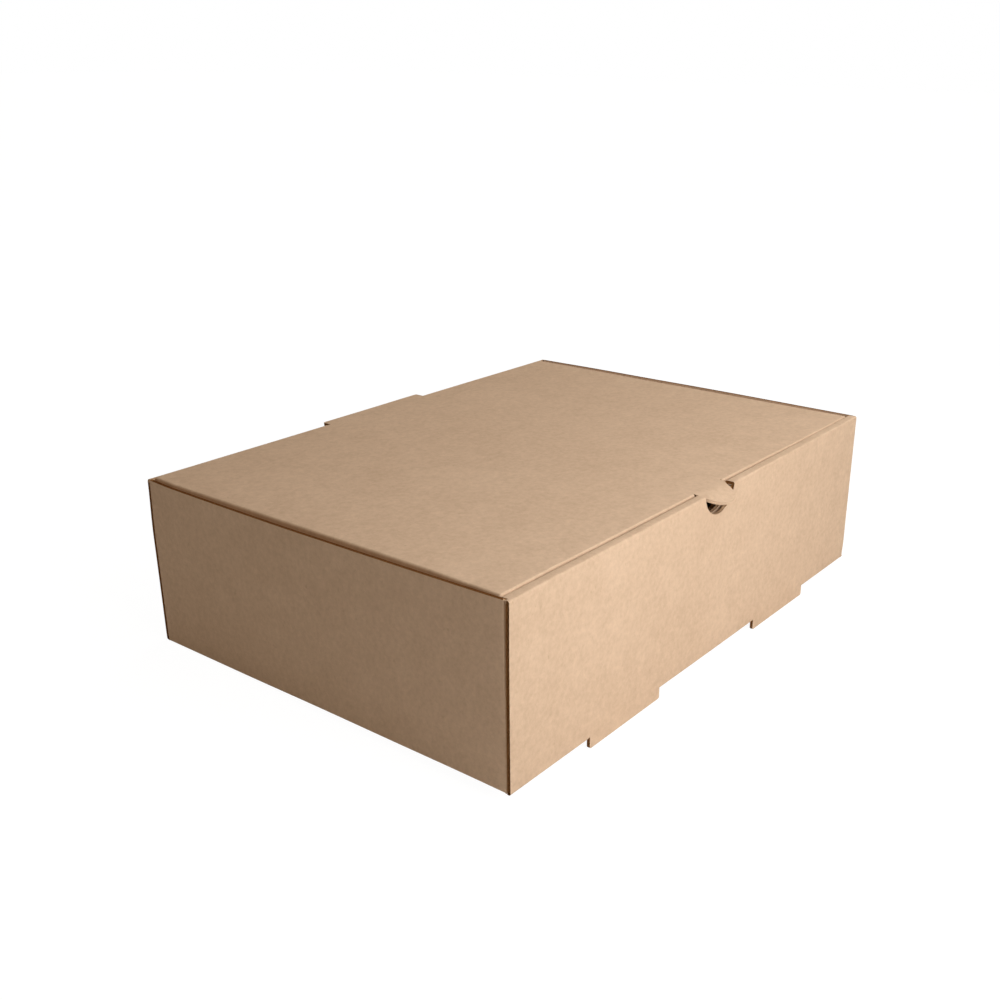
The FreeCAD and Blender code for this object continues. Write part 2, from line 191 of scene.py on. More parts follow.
# Where those moves begin and end: distances from the edge or fold that each belongs to, except
# that the bulge at the right end of the lid is measured from the middle.
BOW_DEPTH = (6 * MM, 40 * MM)
FLARE_REACH = (30 * MM, 0)
REAR_ACROSS = (30 * MM, 2 * MM)
REAR_ALONG = (16 * MM, 2 * MM)
REAR_HEIGHT = (28 * MM, 0)
LID_HEIGHT = (12 * MM, 3 * MM)
LID_DEPTH = (3 * MM, 16 * MM)
TIP_REACH = (24 * MM, 4 * MM)
RIGHT_REACH = (20 * MM, 125 * MM)
EAR_ACROSS = (10 * MM, 2 * MM)
EAR_ALONG = (2 * MM, 14 * MM)
SHOULDER_ACROSS = (14 * MM, 2 * MM)
SHOULDER_ALONG = (3 * MM, 34 * MM)
TONGUE_REACH = (0, 4 * MM)
SIDE_SKIN = 2.2 * MM

# The camera: its place is in box heights from the lower left corner of the front wall.
LENS = 42.23
SHIFT_X = -0.041
SHIFT_Y = 0.048
CAMERA_PLACE = (-3.545, -2.930, 3.154)
CAMERA_YAW = 52.20
CAMERA_PITCH = 22.51
CAMERA_ROLL = 0.03

# The studio. Each soft light has a name, a place, a size and a power, and is aimed at the box.
ROOM_COLOUR = (1.0, 0.52, 0.05)
ROOM_STRENGTH = 0.087
FLOOR_SIZE = 16
FLOOR_SINK = 0.15 * MM
FLOOR_REST = REAR - FRONT - 1.0 * MM
FLOOR_FADE = (0.3, 1.0)
LIGHT_AIM = (0, 0, 0.04)
LIGHTS = (
    ("key_light", (-0.10, -0.45, 0.45), 0.35, 1.29),
    ("low_light", (-0.15, -0.50, 0.25), 0.25, 0.46),
    ("front_light", (0.0, -0.60, 0.35), 0.30, 0.99),
    ("right_light", (0.40, -0.20, 0.60), 0.40, 1.20),
    ("high_light", (0.50, 0.20, 0.80), 0.40, 1.44),
    ("left_light", (-0.80, 0.40, 0.30), 0.40, 0.58),
)


# ---------------------------------------------------------------- finishes


class Level:
    """An output of a node, so that sums on it add Math nodes to the same finish."""

    def __init__(self, finish, socket):
        self.finish = finish
        self.socket = socket

    def combine(self, operation, *terms):
        return self.finish.add("ShaderNodeMath", {"operation": operation}, dict(enumerate(terms)))

    def __add__(self, other):
        return self.combine("ADD", self, other)

    __radd__ = __add__

    def __sub__(self, other):
        return self.combine("SUBTRACT", self, other)

    def __rsub__(self, other):
        return self.combine("SUBTRACT", other, self)

    def __mul__(self, other):
        return self.combine("MULTIPLY", self, other)

    __rmul__ = __mul__


class Finish:
    """A new material, or the world, and the nodes that make it."""

    def __init__(self, owner):
        owner.use_nodes = True
        self.owner = owner
        self.tree = owner.node_tree
        self.tree.nodes.clear()

    def add(self, kind, settings, sockets, output=0):
        """Make a node, with its settings first, then the values or links of its sockets."""
        node = self.tree.nodes.new(kind)
        for key, setting in settings.items():
            setattr(node, key, setting)
        for name, source in sockets.items():
            if isinstance(source, Level):
                self.tree.links.new(source.socket, node.inputs[name])
            else:
                node.inputs[name].default_value = source
        return Level(self, node.outputs[output]) if node.outputs else None

    def place(self):
        return self.add("ShaderNodeTexCoord", {}, {}, output="Object")

    def stretched(self, place, factors):
        return self.add("ShaderNodeVectorMath", {"operation": "MULTIPLY"}, {0: place, 1: factors})

    def noise(self, place, scale, detail, roughness=0.5):
        return self.add("ShaderNodeTexNoise", {"noise_dimensions": "3D"},
                        {"Vector": place, "Scale": scale, "Detail": detail,
                         "Roughness": roughness})

    def spread(self, value, low, high, to_low=0.0, to_high=1.0):
        """Map a range onto another, without going past its ends."""
        return self.add("ShaderNodeMapRange", {"clamp": True},
                        {"Value": value, "From Min": low, "From Max": high,
                         "To Min": to_low, "To Max": to_high})

    def mix(self, factor, first, second):
        return self.add("ShaderNodeMix", {"data_type": "RGBA"},
                        {"Factor": factor, 6: first, 7: second}, output=2)

    def bump(self, height, distance):
        return self.add("ShaderNodeBump", {}, {"Height": height, "Distance": distance})

    def ray(self, question):
        """1 for the light rays that the question is true of, and 0 for the others."""
        return self.add("ShaderNodeLightPath", {}, {}, output=question)

    def surface(self, shader, output="ShaderNodeOutputMaterial"):
        self.add(output, {}, {"Surface": shader})
        return self.owner


def shade(red, green, blue):
    return (red, green, blue, 1.0)


KRAFT_DARK = shade(0.575, 0.405, 0.270)
KRAFT_LIGHT = shade(0.765, 0.565, 0.400)
FLECK_BROWN = shade(0.42, 0.275, 0.165)
EDGE_LIGHT = shade(0.66, 0.460, 0.290)
EDGE_DARK = shade(0.42, 0.265, 0.145)
# The cores of open cut edges: the medium's browner paper, darkened further as painted shade for
# the hollow flute tunnels.
CORE_DARK_AND_SHADE = shade(0.28, 0.125, 0.040)
CORE_BROWN_AND_SHADE = shade(0.44, 0.225, 0.085)
FLOOR_LIT = shade(0.82, 0.82, 0.82)
FLOOR_FAINT = shade(0.10, 0.10, 0.10)
FLOOR_WHITE = shade(0.97, 0.97, 0.97)
WHITE = shade(1, 1, 1)


def kraft_paper():
    """Kraft liner: softly mottled brown pulp, faint fibres and flecks, and hardly any gloss."""
    finish = Finish(bpy.data.materials.new("kraft_liner"))
    place = finish.place()
    fibre_place = finish.stretched(place, (1.0, 0.45, 0.45))
    fibres = finish.noise(fibre_place, 2400, detail=3, roughness=0.6)
    cloud = finish.noise(place, 420, detail=3, roughness=0.6)
    patches = finish.noise(place, 90, detail=2)
    broad = finish.noise(place, 16, detail=2)
    tone = (cloud - 0.5) * 1.1 + (fibres - 0.5) * 0.6
    tone = tone + (patches - 0.5) * 0.5 + (broad - 0.5) * 0.3
    pulp = finish.mix(finish.spread(tone, -0.5, 0.5), KRAFT_DARK, KRAFT_LIGHT)
    flecks = finish.spread(finish.noise(fibre_place, 800, detail=2), 0.70, 0.78)
    colour = finish.mix(flecks * 0.30, pulp, FLECK_BROWN)
    relief = fibres * 0.5 + cloud * 0.5
    normal = finish.bump(relief, 0.03 * MM)
    paper = finish.add("ShaderNodeBsdfPrincipled", {}, {
        "Base Color": colour,
        "Roughness": finish.spread(fibres, 0.3, 0.7, 0.80, 0.92),
        "Specular IOR Level": 0.3,
        "Normal": normal,
    })
    return finish.surface(paper)


def cut_edge_paper(name, dark, light):
    """The cut through the board: rough paper fibres, browner than the liner. For open flutes, the
    darker colours also hold painted shade for the hollow flutes.
    """
    finish = Finish(bpy.data.materials.new(name))
    place = finish.place()
    fuzz = finish.noise(place, 2200, detail=3, roughness=0.65)
    colour = finish.mix(finish.spread(fuzz, 0.3, 0.7), dark, light)
    paper = finish.add("ShaderNodeBsdfPrincipled", {}, {
        "Base Color": colour,
        "Roughness": 0.95,
        "Specular IOR Level": 0.2,
        "Normal": finish.bump(fuzz, 0.1 * MM),
    })
    return finish.surface(paper)


KRAFT = kraft_paper()
CLOSED_EDGE = cut_edge_paper("cut_edge", EDGE_DARK, EDGE_LIGHT)
# The open flutes' finish carries painted shade for the flute hollows in its colours.
OPEN_FLUTES_AND_SHADE = cut_edge_paper("open_flutes", CORE_DARK_AND_SHADE, CORE_BROWN_AND_SHADE)

# Which of a board's finishes a face has; hidden edges are closed edges that stay flat.
LINER_FACE, CLOSED_FACE, OPEN_FACE, HIDDEN_FACE = range(4)


# ---------------------------------------------------------------- modelling


def near(value, target):
    """Whether two lengths are the same, to a hundredth of a millimetre."""
    return abs(value - target) < NEAR


def start_sheet(name, half_width, front, rear, height):
    """A flat sheet, left in edit mode to be cut and folded."""
    bpy.ops.object.select_all(action="DESELECT")
    bpy.ops.mesh.primitive_plane_add(size=1, location=(0, (front + rear) / 2, height))
    sheet = bpy.context.active_object
    sheet.name = name
    sheet.data.name = name
    bpy.ops.transform.resize(value=(2 * half_width, rear - front, 1))
    bpy.ops.object.transform_apply(location=True, rotation=True, scale=True)
    bpy.ops.object.mode_set(mode="EDIT")
    return sheet


def pick(kind, test):
    """Select the vertices, edges or faces of the sheet being shaped that lie where asked."""
    bpy.ops.mesh.select_mode(type=kind)
    bpy.ops.mesh.select_all(action="DESELECT")
    shape = bmesh.from_edit_mesh(bpy.context.edit_object.data)
    parts = {"VERT": shape.verts, "EDGE": shape.edges, "FACE": shape.faces}[kind]
    for part in parts:
        if kind == "VERT":
            chosen = test(part.co)
        elif kind == "EDGE":
            chosen = all(test(corner.co) for corner in part.verts)
        else:
            chosen = test(part.calc_center_median())
        if chosen:
            part.select_set(True)
    bmesh.update_edit_mesh(bpy.context.edit_object.data)


def cut(point, normal, keep_all=True):
    """Cut every selected face along a plane, and drop what is ahead of it if asked."""
    bpy.ops.mesh.bisect(plane_co=point, plane_no=normal, clear_outer=not keep_all)


def cut_lines(axis, places):
    """Cut the whole sheet square to one axis at each of the places."""
    for place in places:
        bpy.ops.mesh.select_all(action="SELECT")
        point = [0, 0, 0]
        normal = [0, 0, 0]
        point[axis] = place
        normal[axis] = 1
        cut(point, normal)


def cut_grid(spacing):
    """Cut the folded sheet along x, y and z so that no panel has a face wider than the spacing."""
    for axis in range(3):
        shape = bmesh.from_edit_mesh(bpy.context.edit_object.data)
        lines = sorted({round(corner.co[axis] / NEAR) * NEAR for corner in shape.verts})
        places = []
        for before, after in zip(lines, lines[1:]):
            count = math.ceil((after - before) / spacing)
            places += [before + (after - before) * i / count for i in range(1, count)]
        cut_lines(axis, places)


def pull(test, *steps):
    """Extrude the chosen edges, then what that made, and so on: one panel for each step."""
    pick("EDGE", test)
    for step in steps:
        bpy.ops.mesh.extrude_region_move(TRANSFORM_OT_translate={"value": step})


def drop(test):
    """Cut away the faces that lie where asked."""
    pick("FACE", test)
    bpy.ops.mesh.delete(type="FACE")


def join_sheet():
    bpy.ops.mesh.select_all(action="SELECT")
    bpy.ops.mesh.remove_doubles(threshold=NEAR)


def round_fold(test, radius):
    pick("EDGE", test)
    bpy.ops.mesh.bevel(offset=radius, segments=FOLD_STEPS, affect="EDGES", clamp_overlap=False)
    join_sheet()


def round_corner(test, radius, steps=4):
    pick("VERT", test)
    bpy.ops.mesh.bevel(offset=radius, segments=steps, affect="VERTICES", clamp_overlap=False)


def shift(test, by):
    pick("VERT", test)
    bpy.ops.transform.translate(value=by)


def tidy_sheet():
    join_sheet()
    bpy.ops.mesh.normals_make_consistent(inside=False)
    bpy.ops.object.mode_set(mode="OBJECT")


def apply_modifier(piece, kind, **settings):
    bpy.ops.object.select_all(action="DESELECT")
    piece.select_set(True)
    bpy.context.view_layer.objects.active = piece
    modifier = piece.modifiers.new(kind.lower(), kind)
    for key, setting in settings.items():
        setattr(modifier, key, setting)
    bpy.ops.object.modifier_apply(modifier=modifier.name)


def thicken(sheet):
    """Give the sheet the board's thickness, inwards from its outer face."""
    sheet.data.materials.clear()
    for finish in (KRAFT, CLOSED_EDGE, OPEN_FLUTES_AND_SHADE):
        sheet.data.materials.append(finish)
    apply_modifier(sheet, "SOLIDIFY", thickness=BOARD, offset=-1, use_even_offset=True,
                   use_quality_normals=True, material_offset_rim=CLOSED_FACE)


def crisp_inside(corner, inward, radius, test=lambda place: True):
    """Draw the inner liner of a tight fold into a plain corner, where the board is crushed."""
    axes = [axis for axis in range(3) if inward[axis]]
    pick("VERT", lambda place: test(place) and all(
        radius - NEAR < (place[axis] - corner[axis]) * inward[axis] < BOARD + NEAR
        for axis in axes))
    centre = [corner[axis] + inward[axis] * BOARD for axis in range(3)]
    shrink = -INNER_BEND / (BOARD - radius)
    bpy.ops.transform.resize(value=[shrink if inward[axis] else 1 for axis in range(3)],
                             center_override=centre)


def punch(board, cutter, solver="FAST"):
    """Cut through the board with a closed shape, whose faces leave a cut edge behind."""
    for finish in (KRAFT, CLOSED_EDGE):
        cutter.data.materials.append(finish)
    for face in cutter.data.polygons:
        face.material_index = CLOSED_FACE
    apply_modifier(board, "BOOLEAN", operation="DIFFERENCE", object=cutter, solver=solver)
    bpy.data.objects.remove(cutter)


def round_punch(radius, centre, depth):
    """A cylinder along y for punching through the front of the box."""
    bpy.ops.object.select_all(action="DESELECT")
    bpy.ops.mesh.primitive_cylinder_add(vertices=72, radius=radius, depth=depth, location=centre,
                                        rotation=(math.pi / 2, 0, 0))
    cutter = bpy.context.active_object
    bpy.ops.object.transform_apply(location=True, rotation=True, scale=True)
    return cutter


def open_edges(board, flutes_open, hidden):
    """Sink the middle of each cut edge between its two liners, deeper where flutes end in it."""
    bpy.ops.object.select_all(action="DESELECT")
    board.select_set(True)
    bpy.context.view_layer.objects.active = board
    bpy.ops.object.mode_set(mode="EDIT")
    bpy.ops.mesh.select_mode(type="FACE")
    shape = bmesh.from_edit_mesh(board.data)
    for face in shape.faces:
        if face.material_index == CLOSED_FACE:
            middle = face.calc_center_median()
            if hidden(middle):
                face.material_index = HIDDEN_FACE
            elif flutes_open(middle, face.normal):
                face.material_index = OPEN_FACE
    for edge_kind, depth in ((CLOSED_FACE, SHUT_DEPTH), (OPEN_FACE, FLUTE_DEPTH)):
        bpy.ops.mesh.select_all(action="DESELECT")
        shape = bmesh.from_edit_mesh(board.data)
        for face in shape.faces:
            face.select_set(face.material_index == edge_kind)
        bmesh.update_edit_mesh(board.data)
        bpy.ops.mesh.inset(thickness=LINER, depth=-depth, use_even_offset=False)
    shape = bmesh.from_edit_mesh(board.data)
    for face in shape.faces:
        if face.material_index == HIDDEN_FACE:
            face.material_index = CLOSED_FACE
    bmesh.update_edit_mesh(board.data)
    bpy.ops.object.mode_set(mode="OBJECT")


def flute_run(start, end, across, inward):
    """The wavy layer seen between the liners of one cut edge, from start to end."""
    length = (end - start).length
    waves = max(1, round(length / FLUTE_PITCH))
    bpy.ops.object.select_all(action="DESELECT")
    bpy.ops.mesh.primitive_grid_add(x_subdivisions=4 * waves, y_subdivisions=2, size=1)
    ribbon = bpy.context.active_object
    bpy.ops.transform.resize(value=(length, FLUTE_SUNK, 1))
    bpy.ops.object.transform_apply(location=True, rotation=True, scale=True)
    bpy.ops.object.mode_set(mode="EDIT")
    step = length / (4 * waves)
    for phase, height in ((1, FLUTE_SWING), (3, -FLUTE_SWING)):
        shift(lambda corner: round((corner.x + length / 2) / step) % 4 == phase, (0, 0, height))
    bpy.ops.object.mode_set(mode="OBJECT")
    apply_modifier(ribbon, "SUBSURF", levels=1, render_levels=1)
    apply_modifier(ribbon, "SOLIDIFY", thickness=FLUTE_PAPER, offset=0)
    # The wavy layer takes the open flutes' colours, which hold painted shade for the hollows
    # between the waves.
    ribbon.data.materials.append(OPEN_FLUTES_AND_SHADE)
    along = (end - start).normalized()
    middle = (start + end) / 2 + inward * (FLUTE_INSET + FLUTE_SUNK / 2)
    turn = Matrix((along, inward, across)).transposed().to_4x4()
    ribbon.matrix_world = Matrix.Translation(middle) @ turn
    bpy.ops.object.transform_apply(location=True, rotation=True, scale=True)
    if turn.determinant() < 0:
        bpy.ops.object.mode_set(mode="EDIT")
        bpy.ops.mesh.select_all(action="SELECT")
        bpy.ops.mesh.flip_normals()
        bpy.ops.object.mode_set(mode="OBJECT")
    return ribbon


def join_up(pieces, name):
    bpy.ops.object.select_all(action="DESELECT")
    for piece in pieces:
        piece.select_set(True)
    bpy.context.view_layer.objects.active = pieces[0]
    bpy.ops.object.join()
    joined = bpy.context.active_object
    joined.name = name
    joined.data.name = name
    return joined


def smooth(low, high, value):
    """A gentle rise from 0 to 1 between two places."""
    share = min(max((value - low) / (high - low), 0.0), 1.0)
    return share * share * (3 - 2 * share)


def rise(value, edge, span):
    """From 0 to 1 between two distances short of an edge."""
    return smooth(edge - span[0], edge - span[1], value)


def fall(value, edge, span):
    """From 1 to 0 between two distances past an edge."""
    return 1 - smooth(edge + span[0], edge + span[1], value)


def push(piece, name, axis, distance, weight):
    """Move the piece along one axis, by a share of the distance that depends on the place."""
    group = piece.vertex_groups.new(name=name)
    for corner in piece.data.vertices:
        share = weight(corner.co)
        if share > 0:
            group.add([corner.index], share, "REPLACE")
    apply_modifier(piece, "DISPLACE", direction=axis, strength=distance, mid_level=0,
                   vertex_group=name)
    piece.vertex_groups.clear()


def wall_rise(z):
    """How far a wall is free to lean: held at the base, free at the top."""
    return min(max((z - BASE) / HEIGHT, 0.0), 1.0) ** LEAN_CURVE


def front_bow(place):
    """The front wall and what stands behind it bow out most at the middle of the top."""
    across = max(1 - (place.x / HALF) ** 2, 0.0)
    return across * wall_rise(place.z) * fall(place.y, LID_FRONT, BOW_DEPTH)


def front_flare(place):
    """The left end of the front wall springs a little way off the corner flap behind it."""
    if place.y < FRONT + CURL + NEAR:
        depth = 1
    elif place.z > TOP - BOARD - NEAR and abs(place.x) < LAND_END + NEAR:
        depth = 1 - smooth(FRONT + CURL, FRONT_BACK, place.y)
    else:
        depth = 0
    return rise(-place.x, HALF, FLARE_REACH) * depth * wall_rise(place.z)


def rear_corner(place):
    """The rear left corner leans in at its top."""
    return (rise(-place.x, HALF, REAR_ACROSS) * rise(place.y, REAR, REAR_ALONG)
            * rise(place.z, TOP, REAR_HEIGHT))


def lid_edge(place):
    """The front edge of the lid, all along."""
    return fall(place.y, LID_FRONT, LID_DEPTH) * rise(place.z, TOP, LID_HEIGHT)


def lid_tip(place):
    """The left end of the lid's front edge."""
    return rise(-place.x, HALF, TIP_REACH) * lid_edge(place)


def lid_corner(place):
    """The front edge of the lid bulges towards the front wall at either end."""
    return max(lid_tip(place), smooth(*RIGHT_REACH, place.x) * lid_edge(place))


def lid_left(place, across, along):
    """The left edge of the lid, at its front end."""
    return (rise(-place.x, LID_HALF, across) * fall(place.y, LID_FRONT, along)
            * rise(place.z, TOP, LID_HEIGHT))


def lid_ear(place):
    """The lid's front left corner reaches out towards the side wall."""
    return lid_left(place, EAR_ACROSS, EAR_ALONG)


def lid_shoulder(place):
    """The left edge of the lid bulges towards the side wall at its front end."""
    return lid_left(place, SHOULDER_ACROSS, SHOULDER_ALONG)


def in_front_of_fold(place):
    """What of the lid's top stands out in front of the tongue's fold line."""
    return (place.y <= TONGUE_FOLD and abs(place.x) <= TONGUE_RADIUS + NEAR
            and place.z > TOP - TONGUE_HANG)


def tongue_side(place):
    """The tongue, more and more towards its right side and its tip."""
    if not in_front_of_fold(place):
        return 0.0
    return smooth(*TONGUE_REACH, TONGUE_FOLD - place.y) * max(place.x, 0.0) / TONGUE_RADIUS


def side_bow(side):
    """A side wall bows out between its two corners."""
    middle = (FRONT + REAR) / 2
    reach = (REAR - FRONT) / 2

    def weight(place):
        if side * place.x < HALF - SIDE_SKIN:
            return 0.0
        along = max(1 - ((place.y - middle) / reach) ** 2, 0.0)
        return along * wall_rise(place.z)

    return weight


def finish_board(piece):
    """Lean the rear corner, give the board the slight unevenness of folding, and smooth it."""
    push(piece, "rear_corner", "X", REAR_LEAN, rear_corner)
    apply_modifier(piece, "DISPLACE", texture=BOARD_DRIFT, texture_coords="LOCAL",
                   direction="RGB_TO_XYZ", strength=DRIFT, mid_level=0.5)
    bpy.ops.object.select_all(action="DESELECT")
    piece.select_set(True)
    bpy.context.view_layer.objects.active = piece
    bpy.ops.object.shade_smooth_by_angle(angle=math.radians(SMOOTH_ANGLE))


# ---------------------------------------------------------------- the tray


def in_foot(x, margin=0.0):
    """Whether a place along the front wall is within either foot, or a margin of it."""
    return FOOT_INNER - margin - NEAR < abs(x) < FOOT_OUTER + margin + NEAR


def make_tray_board():
    sheet = start_sheet("tray_board", HALF, FRONT, REAR, BASE)
    bpy.ops.mesh.select_all(action="SELECT")
    bpy.ops.mesh.flip_normals()
    columns = (LAND_END, FOLD_END, FOOT_INNER, FOOT_INNER - SLIT, FOOT_OUTER, FOOT_OUTER + SLIT,
               FOOT_INNER + LOCK_INSET, FOOT_OUTER - LOCK_INSET, VENT_HALF)
    cut_lines(0, [side * column for side in (-1, 1) for column in columns])
    cut_lines(1, [FRONT + CURL, SIDE_FRONT, SLOT_REAR, SIDE_REAR, REAR - CURL])
    drop(lambda place: abs(place.x) > FOLD_END and (FRONT + CURL < place.y < SIDE_FRONT
                                                    or SIDE_REAR < place.y < REAR - CURL))

    # The front wall, rolled over into the inner panel and its lock tabs, and the rear wall.
    pull(lambda place: near(place.y, FRONT), (0, 0, TOP - BASE))
    pull(lambda place: near(place.y, REAR), (0, 0, WALL_SEAM - BASE))
    pull(lambda place: near(place.y, FRONT) and near(place.z, TOP), (0, CURL, 0))
    pull(lambda place: near(place.y, FRONT + CURL) and near(place.z, TOP)
         and abs(place.x) < LAND_END + NEAR,
         (0, FRONT_BACK - FRONT - CURL, 0), (0, 0, BASE + LAYER - TOP))
    pull(lambda place: near(place.y, FRONT_BACK) and near(place.z, BASE + LAYER)
         and in_foot(place.x, -LOCK_INSET), (0, 0, LOCK_LIFT - LAYER))

    # The side walls, with a rounded corner and a flap at either end.
    for side in (-1, 1):
        pull(lambda place: near(place.x, side * HALF) and near(place.z, BASE)
             and SIDE_FRONT - NEAR < place.y < SIDE_REAR + NEAR,
             (0, 0, CORNER_FOOT - BASE), (0, 0, FLAP_FOOT - CORNER_FOOT),
             (0, 0, FLAP_TOP - FLAP_FOOT), (0, 0, CREST_TOP - FLAP_TOP))
        for end, turn in ((SIDE_FRONT, -1), (SIDE_REAR, 1)):
            pull(lambda place: near(place.x, side * HALF) and near(place.y, end)
                 and place.z > CORNER_FOOT - NEAR,
                 (0, turn * CORNER_BEND, 0), (-side * (HALF - FOLD_END), 0, 0))
            pull(lambda place: near(place.x, side * FOLD_END)
                 and near(place.y, end + turn * CORNER_BEND)
                 and FLAP_FOOT - NEAR < place.z < FLAP_TOP + NEAR,
                 (-side * (CORNER_FLAP + FOLD_END - HALF), 0, 0))

    # The folds.
    round_fold(lambda place: near(place.z, BASE) and near(place.y, FRONT), BASE_BEND)
    round_fold(lambda place: near(place.z, BASE) and near(place.y, REAR), BASE_BEND)
    round_fold(lambda place: near(place.z, BASE) and near(abs(place.x), HALF)
               and SIDE_FRONT - NEAR < place.y < SIDE_REAR + NEAR, BASE_BEND)
    round_fold(lambda place: near(place.z, TOP) and near(place.y, FRONT), FRONT_BEND)
    round_fold(lambda place: near(place.z, TOP) and near(place.y, FRONT_BACK), TIGHT_BEND)
    for corner in (SIDE_FRONT - CORNER_BEND, SIDE_REAR + CORNER_BEND):
        round_fold(lambda place: near(abs(place.x), HALF) and near(place.y, corner), CORNER_BEND)

    # The corner folds reach down beside the end of the fold under the side wall.
    shift(lambda place: near(place.z, CORNER_FOOT)
          and (SIDE_FRONT - CORNER_BEND - NEAR < place.y < SIDE_FRONT - NEAR
               or SIDE_REAR + NEAR < place.y < SIDE_REAR + CORNER_BEND + NEAR),
          (0, 0, -CORNER_DROP))

    # The feet stay in the plane of the front wall and leave slots in the base.
    drop(lambda place: in_foot(place.x, SLIT) and place.y < SLOT_REAR
         and place.z < BASE + BASE_BEND - NEAR and not near(place.y, FRONT_BACK))
    pull(lambda place: in_foot(place.x) and near(place.y, FRONT)
         and near(place.z, BASE + BASE_BEND), (0, 0, -BASE - BASE_BEND))
    round_corner(lambda place: near(place.z, 0)
                 and (near(abs(place.x), FOOT_INNER) or near(abs(place.x), FOOT_OUTER)),
                 FOOT_CORNER)

    # The gap in the rear wall that the lid's tab was cut from.
    cut_lines(2, [VENT_SILL])
    drop(lambda place: near(place.y, REAR) and abs(place.x) < VENT_HALF
         and place.z > VENT_SILL)

    # Both ends of the rear wall and the right end of the front wall are set in a little.
    for side in (-1, 1):
        shift(lambda place: near(place.x, side * HALF) and place.y > REAR - CURL - NEAR,
              (-side * REAR_INSET, 0, 0))
    shift(lambda place: near(place.x, HALF) and place.y < FRONT + CURL + NEAR,
          (-FRONT_INSET, 0, 0))
    cut_grid(PANEL_GRID)
    tidy_sheet()
    thicken(sheet)
    bpy.ops.object.mode_set(mode="EDIT")
    crisp_inside((0, FRONT, BASE), (0, 1, 1), BASE_BEND)
    crisp_inside((0, REAR, BASE), (0, -1, 1), BASE_BEND)
    crisp_inside((0, FRONT, TOP), (0, 1, -1), FRONT_BEND)
    crisp_inside((0, FRONT_BACK, TOP), (0, -1, -1), TIGHT_BEND)
    crisp_inside((-HALF, 0, BASE), (1, 0, 1), BASE_BEND)
    crisp_inside((HALF, 0, BASE), (-1, 0, 1), BASE_BEND)
    for side in (-1, 1):
        for corner, turn in ((SIDE_FRONT - CORNER_BEND, 1), (SIDE_REAR + CORNER_BEND, -1)):
            crisp_inside((side * HALF, corner, 0), (-side, turn, 0), CORNER_BEND,
                         lambda place: not near(place.z, BASE) and not near(place.z, BASE + BOARD))
    bpy.ops.object.mode_set(mode="OBJECT")
    depth = ROLL_DEPTH + NOTCH_LEAD
    punch(sheet, round_punch(NOTCH_RADIUS, (NOTCH_SLIP, FRONT_BACK - depth / 2, NOTCH_HEIGHT),
                             depth + MM))
    open_edges(sheet, tray_flutes_open,
               lambda place: near(place.z, WALL_SEAM) and place.y > SIDE_REAR)
    return sheet


def tray_flutes_open(place, normal):
    """Flutes run along x, so up the side walls and their corner flaps."""
    out = abs(place.x)
    on_side = out > HALF - EDGE_BAND and SIDE_FRONT - NEAR < place.y < SIDE_REAR + NEAR
    in_flap_layer = (FRONT + BOARD < place.y < FRONT + LAYER + BOARD
                     or REAR - LAYER - BOARD < place.y < REAR - BOARD)
    if on_side or in_flap_layer and HALF - CORNER_FLAP - EDGE_BAND < out < FOLD_END:
        return abs(normal.z) > FACING_UP
    return abs(normal.x) > FACING_SIDE


def make_tray_flutes():
    half_board = BOARD / 2
    runs = []
    for side in (-1, 1):
        inward = Vector((-side, 0, 0))
        front_end = -HALF if side < 0 else HALF - FRONT_INSET
        for end, wall, top in ((front_end, FRONT + half_board, TOP - FRONT_BEND),
                               (side * (HALF - REAR_INSET), REAR - half_board, WALL_SEAM)):
            runs.append(flute_run(Vector((end, wall, BASE + BOARD)), Vector((end, wall, top)),
                                  Vector((0, 1, 0)), inward))
        crest = side * (HALF - half_board)
        runs.append(flute_run(Vector((crest, SIDE_FRONT, CREST_TOP)),
                              Vector((crest, SIDE_REAR, CREST_TOP)),
                              Vector((1, 0, 0)), Vector((0, 0, -1))))
        for flap in (FRONT + LAYER + half_board, REAR - LAYER - half_board):
            runs.append(flute_run(Vector((side * (HALF - CORNER_FLAP), flap, FLAP_TOP)),
                                  Vector((side * FOLD_END, flap, FLAP_TOP)),
                                  Vector((0, 1, 0)), Vector((0, 0, -1))))
        for foot_end, turn in ((FOOT_INNER, 1), (FOOT_OUTER, -1)):
            end = side * foot_end
            runs.append(flute_run(Vector((end, FRONT + half_board, FOOT_FLUTES)),
                                  Vector((end, FRONT + half_board, BASE + BASE_BEND)),
                                  Vector((0, 1, 0)), Vector((side * turn, 0, 0))))
    return join_up(runs, "tray_flutes")


# ---------------------------------------------------------------- the lid


